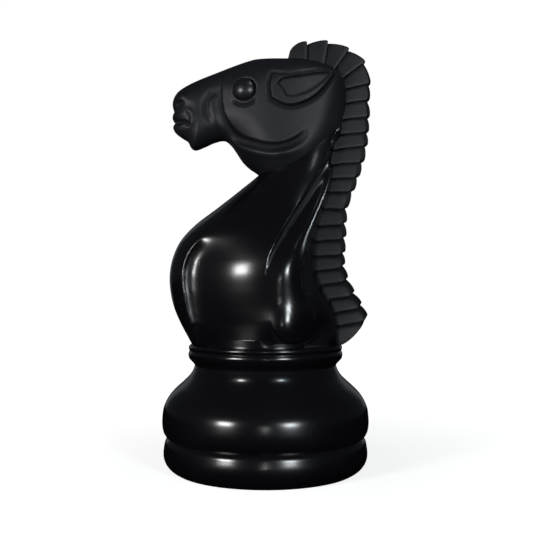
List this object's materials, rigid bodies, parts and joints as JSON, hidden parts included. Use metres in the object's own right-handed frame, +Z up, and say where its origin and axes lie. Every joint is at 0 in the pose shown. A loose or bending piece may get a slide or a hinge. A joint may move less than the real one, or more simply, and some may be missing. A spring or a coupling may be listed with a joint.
{
  "type": "giant chess knight",
  "caption": "Hollow garden chess knight: horse head with stepped mane and fluted neck that lifts off and turns on a round, weighted pedestal with a threaded filler plug.",
  "frame": {"origin": "on the pedestal's axis, on the ground under the foot", "axes": "+Z up along the pedestal's axis; the nose points to -X and the mane to +X; -Y is the horse's left side"},
  "size_m": [0.2322, 0.2304, 0.4765],
  "materials": {
    "shell_gloss": "gloss",
    "head_matt": "satin",
    "eye_gloss": "satin",
    "plug_plastic": "matte",
    "seal_rubber": "matte",
    "screw_steel": "satin",
    "sand": "matte"
  },
  "bodies": {
    "base": {"foot": "shell_gloss", "pedestal": "shell_gloss", "floor_screws": "screw_steel", "ballast": "sand"},
    "collar": {"collar": "shell_gloss"},
    "horse": {"neck_left": "shell_gloss", "neck_right": "shell_gloss", "neck_floor": "shell_gloss", "neck_dowels": "plug_plastic", "head_left": "head_matt", "head_right": "head_matt", "head_dowels": "plug_plastic", "head_post": "plug_plastic", "mane": "head_matt", "eye_left": "eye_gloss", "eye_right": "eye_gloss"},
    "seal": {"plug_seal": "seal_rubber"},
    "plug": {"filler_plug": "plug_plastic"}
  },
  "joints": [
    {"name": "horse_turn", "type": "hinge", "parent": "base", "child": "collar", "pos_m": [0, 0, 0.116], "axis": [0, 0, 1], "continuous": true},
    {"name": "horse_lift", "type": "slide", "parent": "collar", "child": "horse", "axis": [0, 0, 1], "range_m": [0, 0.03]},
    {"name": "plug_travel", "type": "slide", "parent": "base", "child": "seal", "axis": [0, 0, -1], "range_m": [0, 0.01]},
    {"name": "plug_turn", "type": "hinge", "parent": "seal", "child": "plug", "pos_m": [0, 0, 0.03], "axis": [0, 0, -1], "range_deg": [0, 720]}
  ],
  "couplings": [
    {"joint": "plug_travel", "follows": "plug_turn", "m_per_rad": 0.00079577}
  ]
}
